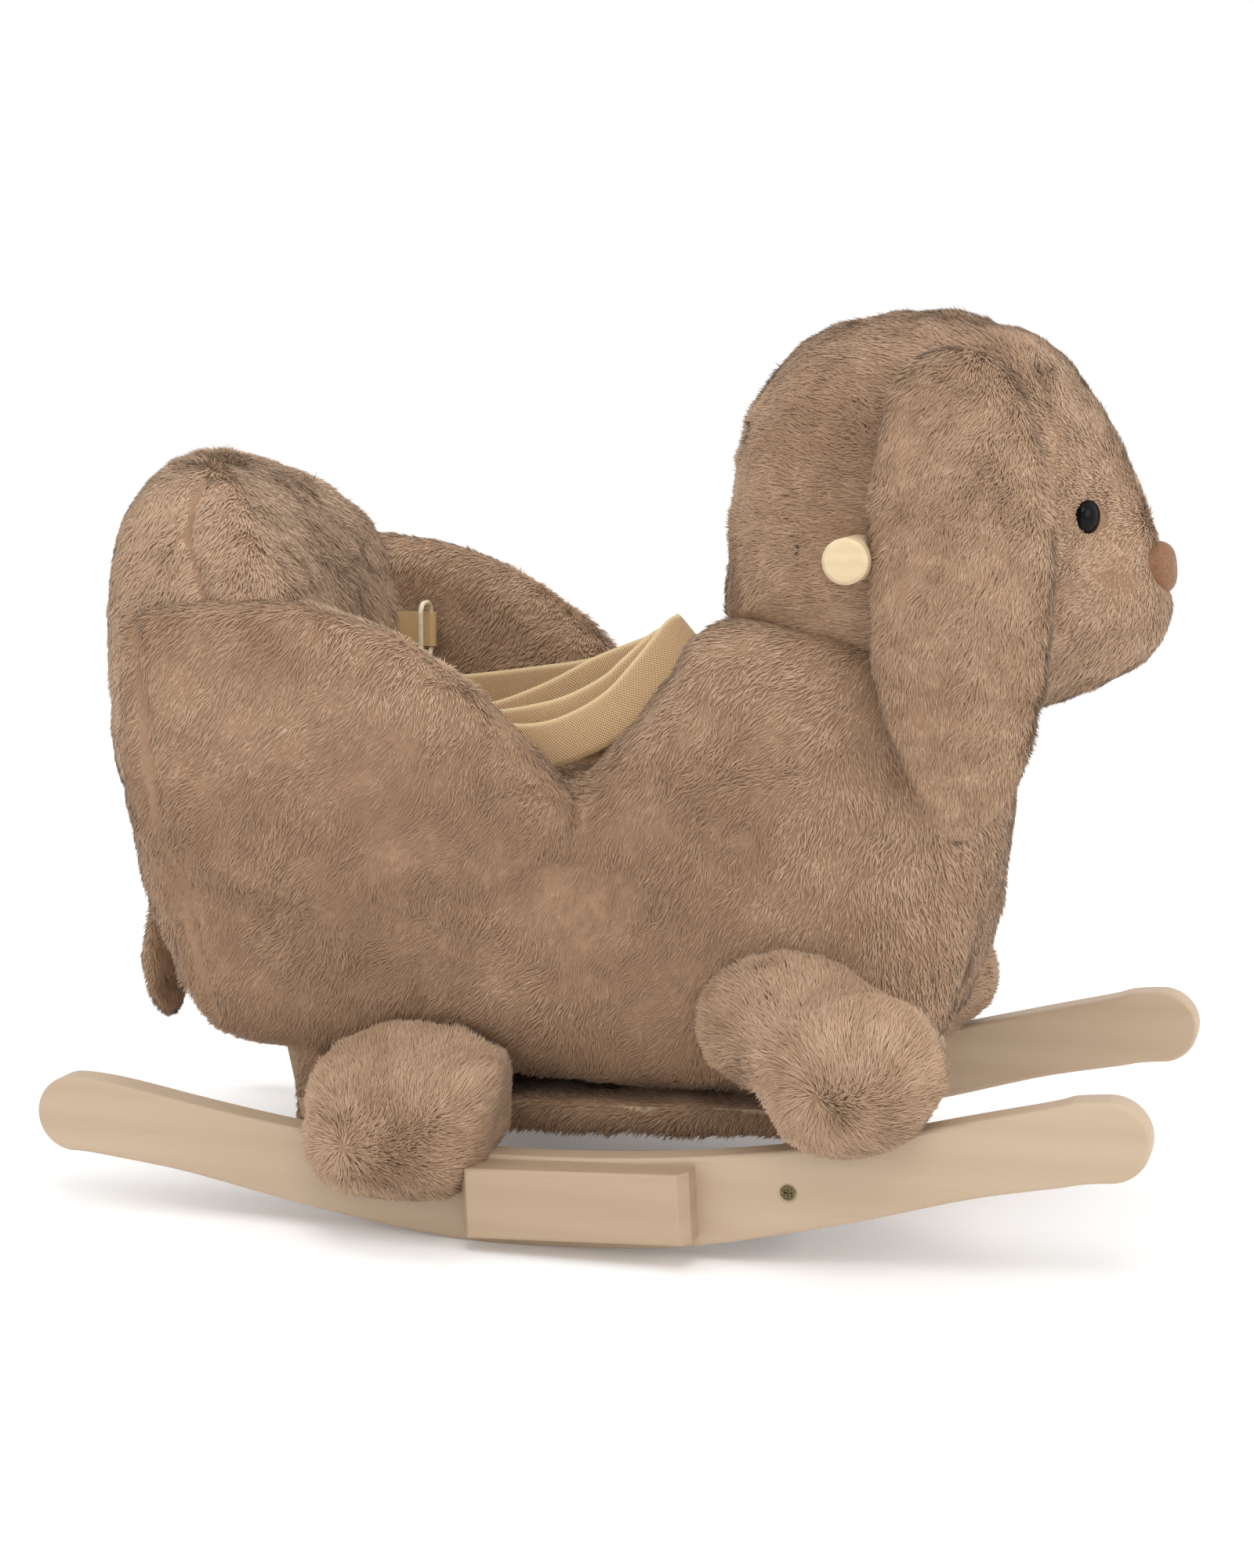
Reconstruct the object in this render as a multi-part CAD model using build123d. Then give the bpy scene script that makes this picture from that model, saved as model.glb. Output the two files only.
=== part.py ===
"""Plush puppy rocker: a stuffed dog with a seat in its back, on two wooden rockers.

Frame: +X is the way the dog looks, +Y is its left, +Z is up, millimetres. X and Y are 0 at the middle
of the whole toy's box, and Z is 0 at the floor, where the rockers touch it. The wooden frame is drawn
level and then turned by rock_tilt, because the toy rests with its nose a little up.
"""

from build123d import *
import math
import os

# ---- rockers and rails (level frame of the woodwork) ----
rocker_length = 650
rocker_span = 300  # over both outer faces
rocker_thickness = 20
rocker_edge_round = 2.5
rock_tilt = 2.82  # degrees, nose up
rail_x = 128.5  # each rail's middle, before and behind the centre
rail_thickness = 18
rail_low, rail_high = 16, 56
foot_rest_length, foot_rest_depth = 132, 22
foot_rest_low, foot_rest_high = 10, 50
foot_rest_middle = 11
# ---- plywood inside the plush ----
base_thickness = 12
base_front, base_rear, base_width = 152, -180, 190
back_board_thickness, back_board_width, back_board_height = 9, 150, 352
back_lean = 12.5  # degrees
neck_board_thickness, neck_board_rear, neck_board_front, neck_board_top = 15, 104, 184, 432
# ---- handle ----
handle_diameter, handle_length = 25, 270
handle_x, handle_z = 151, 386.5
handle_chamfer = 1.8
# ---- plush ----
body_half_width = 122
seat_level = 256
seat_pad_half_width, seat_pad_thickness = 75, 24
bolster_inner, bolster_outer = 77, 130
head_middle, head_size = (166, 0, 412), (108, 98, 107)
muzzle_middle, muzzle_size = (238, 0, 368), (72, 72, 62)
leg_reach = 192  # from the centre to a paw's end
paw_round = 30
ear_thickness = 18
tail_width, tail_thickness, tail_length = 50, 13, 80
# ---- belt ----
webbing_width, webbing_thickness = 30, 1.8
belt_tilt = 14  # degrees, the loop climbs the neck
ring_wire = 3.2
# ---- small parts ----
eye_diameter = 20
nose_back, nose_size = (292, 0, 377), (20, 17, 15)
eye_spot = (-36, 407)  # Y and Z of the right eye
screw_shank, screw_head, screw_sink = 4.5, 9, 1.2
bolt_diameter = 6
skin_gap = 1.0  # between plush and the wood that it doesn't touch

inner_face = rocker_span / 2 - rocker_thickness
outer_face = rocker_span / 2


# ---------------------------------------------------------------- helpers
def side_prism(outline, low_y, high_y):
    """A solid with this X-Z outline between two Y values."""
    face = Plane.XZ * make_face(outline)
    return Pos(0, high_y, 0) * extrude(face, amount=high_y - low_y)


def block(low, high):
    """A box between two corners."""
    size = [b - a for a, b in zip(low, high)]
    middle = [(a + b) / 2 for a, b in zip(low, high)]
    return Pos(*middle) * Box(*size)


def ellipsoid(middle, size):
    return Pos(*middle) * scale(Sphere(1), by=size)


def rod(start, direction, radius, length):
    """A cylinder from a point, along a direction."""
    return Plane(start, z_dir=direction) * Cylinder(
        radius, length, align=(Align.CENTER, Align.CENTER, Align.MIN)
    )


def mirrored(shape):
    """The same piece on the other side."""
    return mirror(shape, about=Plane.XZ)


def group(solids):
    """Separate solids of one node."""
    return Compound([solid for shape in solids for solid in shape.solids()])


def crosshead_screw(start, direction, length):
    """Countersunk wood screw. start is the middle of its head's face; direction points into the wood."""
    head_depth = (screw_head - screw_shank) / 2
    into = Plane(start, z_dir=direction)
    head = into * Pos(0, 0, head_depth / 2) * Cone(screw_head / 2, screw_shank / 2, head_depth)
    shank = into * Pos(0, 0, length / 2) * Cylinder(screw_shank / 2, length)
    slot = Box(4.6, 1.1, 2.4) + Box(1.1, 4.6, 2.4)
    return head + shank - into * slot


def screw_room(start, direction, length):
    """What a crosshead_screw takes out of the wood: its own shape, and the sink over its head."""
    into = Plane(start, z_dir=direction)
    sink = into * Pos(0, 0, -screw_sink / 2) * Cone(
        screw_head / 2 + screw_sink, screw_head / 2, screw_sink
    )
    head_depth = (screw_head - screw_shank) / 2
    head = into * Pos(0, 0, head_depth / 2) * Cone(screw_head / 2, screw_shank / 2, head_depth)
    shank = into * Pos(0, 0, length / 2) * Cylinder(screw_shank / 2, length)
    return sink + head + shank


# ---------------------------------------------------------------- woodwork, drawn level
def rocker_outline():
    """Side outline: long shallow arc below, S-curves to a round nose at each end."""
    end_x = rocker_length / 2 - 22
    lower = [(0, 0), (60, 2), (120, 11.2), (180, 23.8), (240, 37.6), (280, 43.9), (end_x, 46.5)]
    upper = [(0, 51.6), (120, 58.5), (180, 67.8), (240, 80.2), (280, 88.6), (end_x, 91)]
    both_ways = lambda half: [(-x, z) for x, z in reversed(half[1:])] + half
    low_curve = Spline(*both_ways(lower), tangents=((1, -0.03), (1, 0.03)))
    high_curve = Spline(*both_ways(upper), tangents=((1, -0.03), (1, 0.03)))
    middle_z = (lower[-1][1] + upper[-1][1]) / 2
    ends = [
        ThreePointArc((s * end_x, lower[-1][1]), (s * rocker_length / 2, middle_z), (s * end_x, upper[-1][1]))
        for s in (-1, 1)
    ]
    return [low_curve, high_curve] + ends


def rocker_right():
    plate = side_prism(rocker_outline(), -outer_face, -inner_face)
    return fillet(plate.faces().filter_by(Axis.Y).edges(), rocker_edge_round)


def rail(x):
    board = block((x - rail_thickness / 2, -inner_face, rail_low), (x + rail_thickness / 2, inner_face, rail_high))
    return fillet(board.edges().filter_by(Axis.Y), 1.5)


def foot_rest_right():
    """Block on the rocker's outer face: rounded upright ends, eased long edges."""
    low_x = foot_rest_middle - foot_rest_length / 2
    step = block(
        (low_x, -outer_face - foot_rest_depth, foot_rest_low),
        (low_x + foot_rest_length, -outer_face, foot_rest_high),
    )
    outer = step.faces().sort_by(Axis.Y)[0]
    uprights = outer.edges().filter_by(Axis.Z)
    step = chamfer(uprights, 8, 5)
    outer = step.faces().sort_by(Axis.Y)[0]
    return fillet(outer.edges(), 2)


def base_board():
    return block((base_rear - 30, -base_width / 2, rail_high), (base_front, base_width / 2, rail_high + base_thickness))


rail_screw_spots = [(x, s) for x in (-rail_x, rail_x) for s in (-1, 1)]
rail_middle_z = (rail_low + rail_high) / 2
foot_rest_screw_x = (foot_rest_middle - 40, foot_rest_middle + 40)
foot_rest_middle_z = (foot_rest_low + foot_rest_high) / 2


def rail_screw_places():
    """Head middle and direction of each screw through a rocker into a rail's end."""
    return [((x, s * (outer_face - screw_sink), rail_middle_z), (0, -s, 0)) for x, s in rail_screw_spots]


def foot_rest_screw_places():
    """Head middle and direction of each screw from inside a rocker into its foot rest."""
    return [
        ((x, s * (inner_face + screw_sink), foot_rest_middle_z), (0, s, 0))
        for x in foot_rest_screw_x
        for s in (-1, 1)
    ]


def rail_pins():
    """Hidden dowel pins that stop the rails turning."""
    return [
        rod((x, s * (inner_face - 15), rail_middle_z + 12), (0, s, 0), 4, 27) for x, s in rail_screw_spots
    ]


bolt_spots = [(x, y) for x in (-rail_x, rail_x) for y in (-70, 70)]
bolt_head_height, bolt_head_radius = 5, 5


def base_bolt(x, y):
    head = rod((x, y, rail_low + 1), (0, 0, 1), bolt_head_radius, bolt_head_height)
    socket = Pos(x, y, rail_low + 1) * extrude(RegularPolygon(2.6, 6), amount=3)
    shank_length = rail_high + base_thickness - rail_low - bolt_head_height
    shank = rod((x, y, rail_low + 1 + bolt_head_height), (0, 0, 1), bolt_diameter / 2, shank_length)
    return head + shank - socket


def base_nut(x, y):
    """T-nut: a flange on the board and a barrel in it."""
    top = rail_high + base_thickness
    flange = rod((x, y, top), (0, 0, 1), 10, 1.5)
    barrel = rod((x, y, top - 9), (0, 0, 1), 4.2, 9)
    return flange + barrel - rod((x, y, top - 10), (0, 0, 1), bolt_diameter / 2, 20)


# ---------------------------------------------------------------- placing the woodwork
def tilted(shape):
    """From the level frame of the woodwork to the toy at rest, before the lift to the floor."""
    return Rot(0, -rock_tilt, 0) * shape


floor_lift = -tilted(rocker_right()).bounding_box().min.Z


def placed(shape):
    return Pos(0, 0, floor_lift) * tilted(shape)


def build_woodwork():
    """Every level-frame piece, fitted to its neighbours, by node name."""
    screws = [crosshead_screw(p, d, 50) for p, d in rail_screw_places()]
    screw_holes = [screw_room(p, d, 50) for p, d in rail_screw_places()]
    step_screws = [crosshead_screw(p, d, 32) for p, d in foot_rest_screw_places()]
    step_holes = [screw_room(p, d, 32) for p, d in foot_rest_screw_places()]
    pins = rail_pins()
    bolts = [base_bolt(x, y) for x, y in bolt_spots]
    nuts = [base_nut(x, y) for x, y in bolt_spots]
    bolt_rooms = [
        rod((x, y, rail_low - 1), (0, 0, 1), bolt_head_radius + 0.5, bolt_head_height + 2) for x, y in bolt_spots
    ] + [rod((x, y, rail_low), (0, 0, 1), bolt_diameter / 2, 60) for x, y in bolt_spots]
    nut_rooms = [rod((x, y, rail_high + base_thickness - 9), (0, 0, 1), 4.2, 20) for x, y in bolt_spots]
    right = rocker_right() - screw_holes - step_holes - pins
    left = mirrored(rocker_right()) - screw_holes - step_holes - pins
    rails = {
        name: rail(x) - screw_holes - pins - bolt_rooms
        for name, x in (("rear_rail", -rail_x), ("front_rail", rail_x))
    }
    return {
        "rocker_right": right,
        "rocker_left": left,
        **rails,
        "foot_rest_right": foot_rest_right() - step_holes,
        "foot_rest_left": mirrored(foot_rest_right()) - step_holes,
        "base_board": base_board() - bolt_rooms - nut_rooms,
        "rail_screws": group(screws),
        "foot_rest_screws": group(step_screws),
        "rail_dowel_pins": group(pins),
        "base_bolts": group(bolts),
        "base_t_nuts": group(nuts),
    }


# ---------------------------------------------------------------- boards and handle inside the plush
def lean_frame():
    """Foot of the back board's front face, leaning back."""
    foot = placed(Pos(base_rear, 0, rail_high)).position
    return Pos(foot.X, 0, foot.Z) * Rot(0, -back_lean, 0)


def back_board():
    board = Pos(-back_board_thickness / 2, 0, back_board_height / 2) * Box(
        back_board_thickness, back_board_width, back_board_height
    )
    top_corners = board.edges().filter_by(Axis.X).sort_by(Axis.Z)[-2:]
    return lean_frame() * fillet(top_corners, 40)


def back_board_screw_places():
    """Through the back board's foot into the base board's rear edge."""
    lean = math.radians(back_lean)
    across_board = (math.cos(lean), 0, math.sin(lean))
    return [
        ((lean_frame() * Pos(-back_board_thickness, y, base_thickness / 2)).position, across_board)
        for y in (-55, 0, 55)
    ]


def neck_board():
    board = block(
        (neck_board_rear, -neck_board_thickness / 2, 0),
        (neck_board_front, neck_board_thickness / 2, neck_board_top),
    )
    top_corners = board.edges().filter_by(Axis.Y).sort_by(Axis.Z)[-2:]
    return fillet(top_corners, 25)


def handle_dowel():
    dowel = Pos(handle_x, 0, handle_z) * Rot(90, 0, 0) * Cylinder(handle_diameter / 2, handle_length)
    return chamfer(dowel.edges().filter_by(GeomType.CIRCLE), handle_chamfer)


def handle_screw():
    """Holds the dowel in the neck board, from the board's front edge."""
    return crosshead_screw((neck_board_front, 0, handle_z), (-1, 0, 0), 40)


# ---------------------------------------------------------------- plush
def body_column():
    """Upright column over the body's plan: broad behind, narrowing to the chest."""
    broad = body_half_width
    plan = make_face(
        [
            Line((60, -broad), (-240, -broad)),
            ThreePointArc((-240, -broad), (-303, 0), (-240, broad)),
            Line((-240, broad), (60, broad)),
            Spline(
                (60, broad), (160, 104), (220, 58), (236, 0), (220, -58), (160, -104), (60, -broad),
                tangents=((1, 0), (-1, 0)),
            ),
        ]
    )
    return extrude(plan, amount=400)


def torso():
    """Rump, belly and chest up to the neck seam, and up to the bolsters behind."""
    shelf = seat_level - seat_pad_thickness
    neck_rear, neck_front = (58, 350), (238, 293)
    under_rear, under_front = [
        (spot.X, spot.Z) for spot in (placed(Pos(x, 0, rail_high)).position for x in (base_rear - 15, base_front + 3))
    ]
    rear = Spline((-298, shelf), (-302, 180), (-294, 110), (-262, 72), under_rear, tangents=((-0.1, -1), (1, -0.1)))
    front = Spline(under_front, (190, 126), (222, 190), (232, 240), neck_front, tangents=((1, 0.3), (-0.2, 1)))
    nape = Spline(neck_rear, (40, 322), (8, 276), (-12, 250), (-18, shelf), tangents=((-0.3, -1), (0, -1)))
    outline = [rear, Line(under_rear, under_front), front, Line(neck_front, neck_rear), nape]
    outline.append(Line((-18, shelf), (-298, shelf)))
    trunk = side_prism(outline, -body_half_width, body_half_width)
    front_view = Plane.YZ * Pos(0, 230) * RectangleRounded(2 * body_half_width, 380, 55)
    tube = Pos(-330, 0, 0) * extrude(front_view, amount=620)
    flat_base = block((-330, -104, 40), (300, 104, 120))
    return trunk & body_column() & (tube + flat_base)


def seat_cushion():
    pad = block(
        (-155, -seat_pad_half_width, seat_level - seat_pad_thickness), (-20, seat_pad_half_width, seat_level)
    )
    top = pad.faces().sort_by(Axis.Z)[-1]
    return fillet(top.edges(), 9)


def bolster_right():
    """Side of the seat: falls in an S from the backrest to the neck."""
    shelf = seat_level - seat_pad_thickness
    ridge = Spline(
        (-262, 352), (-215, 366), (-165, 364), (-108, 349), (-70, 330), (-42, 302), (-14, 262), (-4, shelf),
        tangents=((1, 0.7), (0.1, -1)),
    )
    outline = [ridge, Line((-4, shelf), (-272, shelf)), Line((-272, shelf), (-262, 352))]
    wall = side_prism(outline, -bolster_outer, -bolster_inner)
    front_view = Plane.YZ * Pos(-(bolster_inner + bolster_outer) / 2, 272) * RectangleRounded(
        bolster_outer - bolster_inner, 190, 24
    )
    return wall & (Pos(-300, 0, 0) * extrude(front_view, amount=320))


def backrest():
    """Lobe behind the seat, round in plan and over the top."""
    shelf = seat_level - seat_pad_thickness
    outline = [
        Spline(
            (-292, shelf), (-300, 300), (-302, 360), (-296, 410), (-272, 438), (-238, 430), (-200, 412), (-170, 380),
            (-158, 330), (-158, shelf),
            tangents=((-0.1, 1), (0, -1)),
        ),
        Line((-158, shelf), (-292, shelf)),
    ]
    lobe = side_prism(outline, -120, 120)
    plan = Pos(-242, 0, 0) * extrude(Ellipse(86, 121), amount=460)
    front_view = Plane.YZ * Pos(0, 300) * Ellipse(124, 141)
    crown = Pos(-330, 0, 0) * extrude(front_view, amount=250)
    upright = block((-330, -124, 200), (-100, 124, 300))
    return lobe & plan & (crown + upright)


def neck_cut():
    """Everything below the seam between head and body."""
    seam = side_prism([Polyline((-60, 388), (330, 264.5), (330, 0), (-60, 0), close=True)], -200, 200)
    return seam


def head():
    skull = ellipsoid(head_middle, head_size) + ellipsoid(muzzle_middle, muzzle_size)
    return skull - neck_cut()


def ear_right():
    """Flat drop-shaped flap, hung from the side of the crown and curving down past the cheek."""
    drop = Spline(
        (196, 489), (174, 452), (168, 390), (175, 310), (206, 243), (244, 287), (260, 370), (252, 440), (228, 489)
    )
    flap = side_prism([drop, Line((228, 489), (196, 489))], -160, -40)
    inner = Spline((-74, 490), (-92, 468), (-105, 430), (-108, 380), (-106, 300), (-103, 240))
    outer_top, outer_low = (-74 - ear_thickness, 490), (-103 - ear_thickness, 240)
    outer = Spline(outer_top, (-110, 468), (-124, 430), (-126, 380), (-125, 300), outer_low)
    band = make_face([inner, outer, Line((-74, 490), outer_top), Line((-103, 240), outer_low)])
    return flap & (Pos(140, 0, 0) * extrude(Plane.YZ * band, amount=150))


def paw_room():
    """Space that the rockers and foot rests take from the legs, with a gap over them."""
    gap = skin_gap
    edge, below = outer_face + gap, 30
    rocker = side_prism(rocker_outline(), -edge, -inner_face + 40)
    under = Pos(0, 0, gap) * rocker + Pos(0, 0, gap - below) * rocker
    low_x = foot_rest_middle - foot_rest_length / 2
    high_x, far_y = low_x + foot_rest_length + gap, outer_face + 40
    step = block((low_x - gap, -far_y, gap - below), (high_x, -outer_face, foot_rest_high + gap))
    return placed(under) + placed(step)


def beside_body():
    """Room outside a flat-sided wrap of the body, where the legs may be."""
    side, reach = body_half_width + skin_gap + 2, 240
    plan = Polyline((-330, -side), (130, -side), (240, -88), (330, -88), (330, -reach), (-330, -reach), close=True)
    return extrude(make_face(plan), amount=300)


def oval_drum(x, z, half_length, half_height, outer, inner):
    """Oval block across the toy on its right side, from Y = -outer to Y = -inner."""
    oval = Plane((x, -inner, z), x_dir=(1, 0, 0), z_dir=(0, -1, 0)) * Ellipse(half_length, half_height)
    return extrude(oval, amount=outer - inner)


def leg_right(x, z, half_length, half_height, root_x, root_z):
    """Stuffed paw lying out over a rocker, and the thigh that joins it to the body."""
    stub = oval_drum(x, z, half_length, half_height, leg_reach, body_half_width - 2)
    stub = fillet(stub.edges().sort_by(Axis.Y)[0], paw_round)
    thigh = oval_drum(root_x, root_z, half_length - 5, half_height - 7, 152, 80)
    joined = ((stub + thigh) & beside_body()) - paw_room()
    return joined.solids().sort_by(SortBy.VOLUME)[-1]


def tail():
    flap = Plane.YZ * SlotOverall(tail_length, tail_width)
    plate = extrude(flap, amount=tail_thickness / 2, both=True)
    upright = Rot(90, 0, 0) * plate
    return fillet(upright.edges(), 4)


def nose():
    """Oval button, domed in front, its back sunk in the muzzle."""
    depth, half_width, half_height = nose_size
    oval = extrude(Plane(nose_back, z_dir=(1, 0, 0.1)) * Ellipse(half_height, half_width), amount=depth)
    return fillet(oval.edges().sort_by(Axis.X)[-1], 9)


def eye_place():
    """On the skull's surface beside the nose's bridge, looking out and forward."""
    y, z = eye_spot
    (mx, my, mz), (a, b, c) = head_middle, head_size
    x = mx + a * math.sqrt(1 - ((y - my) / b) ** 2 - ((z - mz) / c) ** 2)
    outward = Vector((x - mx) / a**2, (y - my) / b**2, (z - mz) / c**2).normalized()
    return Plane((x, y, z), z_dir=outward)


def eye_right():
    """Domed button eye."""
    place = eye_place()
    dome = place * scale(Sphere(1), by=(eye_diameter / 2, eye_diameter / 2, 6))
    stem = place * Pos(0, 0, -9) * Cylinder(2.5, 16)
    return dome + stem


def eye_washer_right():
    place = eye_place()
    return place * Pos(0, 0, -11) * (Cylinder(10, 2) - Cylinder(2.5, 4))


# ---------------------------------------------------------------- belt
def belt_frame():
    return Pos(-66, 0, 277) * Rot(0, -belt_tilt, 0)


def safety_belt():
    """Webbing strap in two nested loops on the seat, standing on its edge."""
    route = FilletPolyline(
        (-78, -66), (40, -58), (88, -20), (84, 12), (10, 38), (-62, 40), (-66, 28), (10, 26), (72, 6), (74, -14),
        (36, -46), (-30, -58),
        radius=5,
    )
    strip = trace(route, webbing_thickness)
    return belt_frame() * extrude(strip, amount=webbing_width)


ring_middle = (-156, 60, 328)
ring_inner_height, ring_inner_depth = 31, 15


def belt_ring():
    """Oblong ring, its plane across the toy, hanging from the tab by one long side."""
    height = ring_inner_height + ring_wire
    depth = ring_inner_depth + ring_wire
    loop = Plane.YZ * RectangleRounded(depth, height, 7)
    wire = loop.face().outer_wire()
    start = wire.edges()[0]
    section = Plane(start @ 0, z_dir=start % 0) * Circle(ring_wire / 2)
    ring = sweep(section, path=wire)
    return Pos(ring_middle[0], ring_middle[1] - depth / 2, ring_middle[2]) * ring


def ring_tab():
    """Short webbing tab, folded round the ring's side and sewn into the backrest."""
    gap = ring_wire / 2 + 0.5
    wide = ring_inner_height - 10
    outer = gap + 1.4
    x, y, z = ring_middle
    nose_round = Cylinder(outer, wide) - Cylinder(gap, wide)
    fold = nose_round & Pos(outer, 0, 0) * Box(2 * outer, 2 * outer, wide)
    layers = [Pos(-13, s * (gap + 0.7), 0) * Box(26, 1.4, wide) for s in (-1, 1)]
    return Pos(x, y, z) * (fold + layers)


# ---------------------------------------------------------------- assembly
def build_plush(wood):
    """Every soft piece and what is inside it, cut back where it meets its neighbours."""
    base_plane_cut = lean_frame() * Pos(-100, 0, 0) * Box(200, 400, 1200)
    board = back_board()
    base = wood["base_board"] - base_plane_cut
    whole_base = placed(base_board()) - base_plane_cut
    below_base_top = placed(block((-400, -200, -100), (400, 200, rail_high + base_thickness)))
    neck = neck_board() - below_base_top
    dowel = handle_dowel()
    grip_screw = handle_screw()
    grip_room = screw_room((neck_board_front, 0, handle_z), (-1, 0, 0), 40)
    back_screws = [crosshead_screw(p, d, 34) for p, d in back_board_screw_places()]
    back_rooms = [screw_room(p, d, 34) for p, d in back_board_screw_places()]
    neck_screw_places = [(placed(Pos(x, 0, rail_high)).position, (0, 0, 1)) for x in (112, 143)]
    neck_screws = [crosshead_screw(p, d, 45) for p, d in neck_screw_places]
    neck_rooms = [screw_room(p, d, 45) for p, d in neck_screw_places]
    boards = [whole_base, board, neck, dowel, grip_screw] + back_screws
    seat_foam = block((-150, -84, 132), (-12, 84, 226))
    back_foam = lean_frame() * block((0, -64, 205), (38, 64, 330))
    tab = ring_tab()
    pad = seat_cushion()
    bolster = bolster_right()
    side_pair = [bolster, mirrored(bolster)]
    hardware = list(wood["base_t_nuts"].solids()) + list(wood["base_bolts"].solids())
    trunk = torso() - boards - [seat_foam] - hardware - [pad] - side_pair
    legs = {
        "leg_rear_right": leg_right(-99, 68, 53, 45, -99, 80),
        "leg_front_right": leg_right(161, 114, 54, 45, 126, 126),
    }
    lobe = backrest() - side_pair - [board, back_foam, tab]
    eyes = [eye_right(), mirrored(eye_right())]
    washers = [eye_washer_right(), mirrored(eye_washer_right())]
    snub = nose()
    skull = (head() - snub - [neck, dowel, grip_screw] - eyes - washers).solids().sort_by(SortBy.VOLUME)[-1]
    ear = ear_right()
    hung_tail = Pos(-312, 0, 124) * tail()
    return {
        "base_board": base - back_rooms - neck_rooms,
        "back_board": board - back_rooms,
        "neck_board": neck - dowel - grip_room - neck_rooms,
        "handle_dowel": dowel - grip_room,
        "handle_screw": grip_screw,
        "back_board_screws": group(back_screws),
        "neck_board_screws": group(neck_screws),
        "torso": trunk,
        "seat_foam": seat_foam,
        "seat_cushion": pad,
        "backrest": lobe,
        "backrest_foam": back_foam,
        "bolster_right": bolster,
        "bolster_left": mirrored(bolster),
        "head": skull,
        "nose": snub,
        "eye_right": eyes[0],
        "eye_left": eyes[1],
        "eye_washers": group(washers),
        "ear_right": ear,
        "ear_left": mirrored(ear),
        **legs,
        "leg_rear_left": mirrored(legs["leg_rear_right"]),
        "leg_front_left": mirrored(legs["leg_front_right"]),
        "tail": hung_tail,
        "safety_belt": safety_belt(),
        "ring_tab": tab,
        "belt_ring": belt_ring(),
    }


def main():
    woodwork = build_woodwork()
    wood = {name: placed(piece) for name, piece in woodwork.items()}
    pieces = {**wood, **build_plush(wood)}
    boxes = [piece.bounding_box() for piece in pieces.values()]
    centre_x = (min(b.min.X for b in boxes) + max(b.max.X for b in boxes)) / 2
    os.makedirs("parts", exist_ok=True)
    for name, piece in pieces.items():
        export_step(Pos(-centre_x, 0, 0) * piece, f"parts/{name}.step")
    print("shift along X", round(-centre_x, 3), "lift", round(floor_lift, 3))


main()
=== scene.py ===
"""Looks of the plush puppy rocker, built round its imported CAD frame.

Shapes are worked out in millimetres, measured from a point 3.382 mm in front of the frame's origin,
and put into the frame in metres. The plush skins are surfaces of signed distance fields, and their
pile is real geometry: short leaning tufts, each a closed three-sided spike.
"""

import math

import bmesh
import bpy
import numpy as np
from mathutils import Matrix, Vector


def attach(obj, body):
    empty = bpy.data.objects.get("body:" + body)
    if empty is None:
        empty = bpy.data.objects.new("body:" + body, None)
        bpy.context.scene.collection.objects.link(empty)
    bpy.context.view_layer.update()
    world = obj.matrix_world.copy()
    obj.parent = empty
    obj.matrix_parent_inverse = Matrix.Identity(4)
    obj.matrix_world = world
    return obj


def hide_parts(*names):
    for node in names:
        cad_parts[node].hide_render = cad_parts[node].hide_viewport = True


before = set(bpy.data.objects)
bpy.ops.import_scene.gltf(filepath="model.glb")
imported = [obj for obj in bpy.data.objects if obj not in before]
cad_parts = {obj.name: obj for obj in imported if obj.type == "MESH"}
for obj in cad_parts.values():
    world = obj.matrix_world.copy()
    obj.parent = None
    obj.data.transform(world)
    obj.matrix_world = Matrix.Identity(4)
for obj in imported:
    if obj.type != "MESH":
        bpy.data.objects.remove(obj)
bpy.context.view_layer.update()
scene = bpy.context.scene
shift = 3.382  # mm from the drawing's X = 0 to the frame's
mm = 0.001
pile_depth = 4.0  # mm that the pile stands over its backing


# ---------------------------------------------------------------- fields
def closed_curve(points, steps=5):
    """Catmull-Rom curve through a closed run of points."""
    p = np.array(points, float)
    before, after, later = np.roll(p, 1, 0), np.roll(p, -1, 0), np.roll(p, -2, 0)
    rows = []
    for t in np.arange(steps) / steps:
        rows.append(
            0.5 * (2 * p + (after - before) * t + (2 * before - 5 * p + 4 * after - later) * t**2
                   + (3 * p - before - 3 * after + later) * t**3)
        )
    return np.stack(rows, 1).reshape(-1, 2)


def outline_distance(u, v, points):
    """Signed distance to a closed outline, negative inside."""
    u, v = np.broadcast_arrays(np.asarray(u, float), np.asarray(v, float))
    near = np.full(u.shape, 1e12)
    sign = np.ones(u.shape)
    for (ax, ay), (bx, by) in zip(points, np.roll(points, -1, 0)):
        ex, ey = bx - ax, by - ay
        wx, wy = u - ax, v - ay
        t = np.clip((wx * ex + wy * ey) / (ex * ex + ey * ey + 1e-9), 0, 1)
        near = np.minimum(near, (wx - ex * t) ** 2 + (wy - ey * t) ** 2)
        over, under, left = v >= ay, v < by, ex * wy > ey * wx
        flip = (over & under & left) | (~over & ~under & ~left)
        sign = np.where(flip, -sign, sign)
    return sign * np.sqrt(near)


def smooth_min(a, b, k):
    h = np.clip(0.5 + 0.5 * (b - a) / k, 0, 1)
    return b + (a - b) * h - k * h * (1 - h)


def smooth_max(a, b, k):
    return -smooth_min(-a, -b, k)


def ellipsoid(x, y, z, middle, size):
    px, py, pz = [(c - m) for c, m in zip((x, y, z), middle)]
    a, b, c = size
    k = np.sqrt((px / a) ** 2 + (py / b) ** 2 + (pz / c) ** 2)
    g = np.sqrt((px / a**2) ** 2 + (py / b**2) ** 2 + (pz / c**2) ** 2)
    return k * (k - 1) / (g + 1e-9)


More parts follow.
